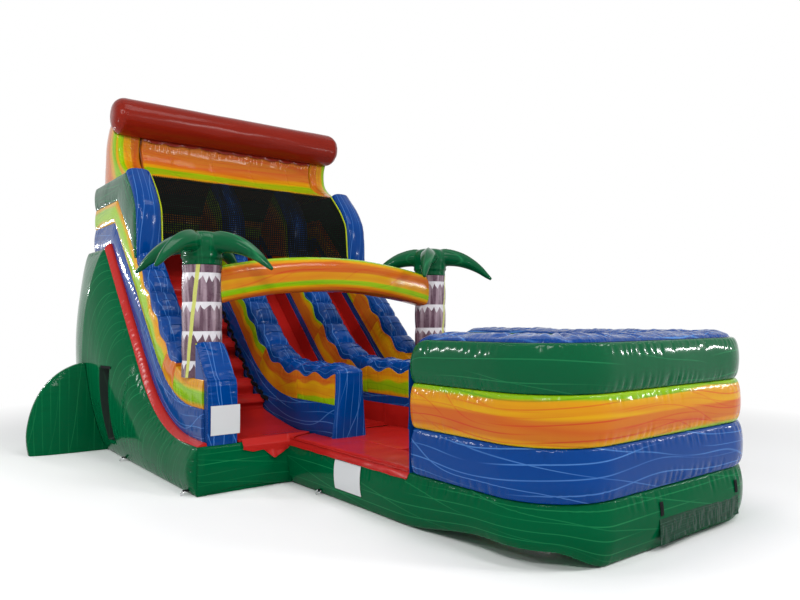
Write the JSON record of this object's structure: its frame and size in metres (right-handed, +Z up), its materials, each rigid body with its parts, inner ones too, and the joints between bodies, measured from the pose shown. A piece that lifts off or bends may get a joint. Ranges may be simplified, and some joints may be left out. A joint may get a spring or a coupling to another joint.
{
  "type": "inflatable water slide",
  "caption": "Inflatable water slide with a climbing lane, side-by-side sliding lanes, a netted tower, an arch between palm trees and a splash pool with a side exit.",
  "frame": {"origin": "centre of the bounding box, at ground level", "axes": "+Y runs from the pool to the rear of the tower, +X to the right for someone facing the slide, +Z up"},
  "size_m": [5.566, 8.415, 4.791],
  "materials": {
    "green_vinyl": "glossy coated vinyl, deep green with lighter streaks",
    "blue_vinyl": "glossy coated vinyl, royal blue with pale streaks",
    "marble_vinyl": "glossy coated vinyl, marbled yellow, orange and lime",
    "orange_vinyl": "glossy coated vinyl, orange with red streaks",
    "red_vinyl": "satin coated vinyl, red",
    "trunk_vinyl": "printed vinyl, brown bark with white jagged bands",
    "webbing": "black woven polyester",
    "net_mesh": "black knitted safety netting",
    "ring_steel": "plated steel wire"
  },
  "bodies": {
    "slide": {"slide_base": "green_vinyl", "side_panel_left": "green_vinyl", "side_panel_right": "green_vinyl", "bed_edge_left": "red_vinyl", "bed_edge_right": "red_vinyl", "wall_blue_left": "blue_vinyl", "wall_blue_right": "blue_vinyl", "wall_marble_left": "marble_vinyl", "wall_marble_right": "marble_vinyl", "wall_green_left": "green_vinyl", "wall_green_right": "green_vinyl", "wall_cap_left": "blue_vinyl", "wall_cap_right": "blue_vinyl", "trunk_guard_left": "blue_vinyl", "trunk_guard_right": "blue_vinyl", "divider_blue_climb": "blue_vinyl", "divider_blue_lanes": "blue_vinyl", "divider_marble_climb": "marble_vinyl", "divider_marble_lanes": "marble_vinyl", "divider_cap_climb": "blue_vinyl", "divider_cap_lanes": "blue_vinyl", "climb_bed": "red_vinyl", "lane_bed_left": "red_vinyl", "lane_bed_right": "red_vinyl", "deck_mat": "blue_vinyl", "rear_panel": "green_vinyl", "rear_wall": "marble_vinyl", "air_sleeve": "webbing", "header_side_left": "orange_vinyl", "header_side_right": "orange_vinyl", "header_back": "orange_vinyl", "fascia": "marble_vinyl", "top_roll": "red_vinyl", "safety_net": "net_mesh", "arch_beam": "marble_vinyl", "palm_trunk_left": "trunk_vinyl", "palm_trunk_right": "trunk_vinyl", "palm_crown_left": "green_vinyl", "palm_crown_right": "green_vinyl", "fin_left": "green_vinyl", "fin_right": "green_vinyl", "pool_base": "green_vinyl", "pool_ring_blue": "blue_vinyl", "pool_ring_orange": "orange_vinyl", "pool_ring_green": "green_vinyl", "pool_cap": "blue_vinyl", "pool_floor": "red_vinyl", "landing_pad": "red_vinyl", "port_strap_left": "webbing", "port_strap_right": "webbing", "handle_strap": "webbing"},
    "entrance_flap": {"entrance_flap": "red_vinyl"},
    "port_flap": {"port_flap": "green_vinyl"},
    "front_left_ring": {"front_anchor_left_ring": "ring_steel"},
    "front_right_ring": {"front_anchor_right_ring": "ring_steel"},
    "rear_left_ring": {"rear_anchor_left_ring": "ring_steel"},
    "rear_right_ring": {"rear_anchor_right_ring": "ring_steel"},
    "pool_left_ring": {"pool_anchor_left_ring": "ring_steel"},
    "pool_right_ring": {"pool_anchor_right_ring": "ring_steel"}
  },
  "joints": [
    {"name": "entrance_flap_hinge", "type": "hinge", "parent": "slide", "child": "entrance_flap", "pos_m": [-0.99, -0.5553, 0.5075], "axis": [-1, 0, 0], "range_deg": [0, 90]},
    {"name": "port_flap_hinge", "type": "hinge", "parent": "slide", "child": "port_flap", "pos_m": [0.82, -4.1953, 0.24], "axis": [-1, 0, 0], "range_deg": [0, 100]},
    {"name": "front_left_ring_hinge", "type": "hinge", "parent": "slide", "child": "front_left_ring", "pos_m": [-1.905, -0.3925, 0.04], "axis": [0, 1, 0], "range_deg": [0, 110]},
    {"name": "front_right_ring_hinge", "type": "hinge", "parent": "slide", "child": "front_right_ring", "pos_m": [1.905, -0.3925, 0.04], "axis": [0, -1, 0], "range_deg": [0, 110]},
    {"name": "rear_left_ring_hinge", "type": "hinge", "parent": "slide", "child": "rear_left_ring", "pos_m": [-1.905, 1.6815, 0.04], "axis": [0, 1, 0], "range_deg": [0, 110]},
    {"name": "rear_right_ring_hinge", "type": "hinge", "parent": "slide", "child": "rear_right_ring", "pos_m": [1.905, 1.6815, 0.04], "axis": [0, -1, 0], "range_deg": [0, 110]},
    {"name": "pool_left_ring_hinge", "type": "hinge", "parent": "slide", "child": "pool_left_ring", "pos_m": [-0.845, -1.1935, 0.04], "axis": [0, 1, 0], "range_deg": [0, 110]},
    {"name": "pool_right_ring_hinge", "type": "hinge", "parent": "slide", "child": "pool_right_ring", "pos_m": [1.935, -1.1935, 0.04], "axis": [0, -1, 0], "range_deg": [0, 110]}
  ]
}
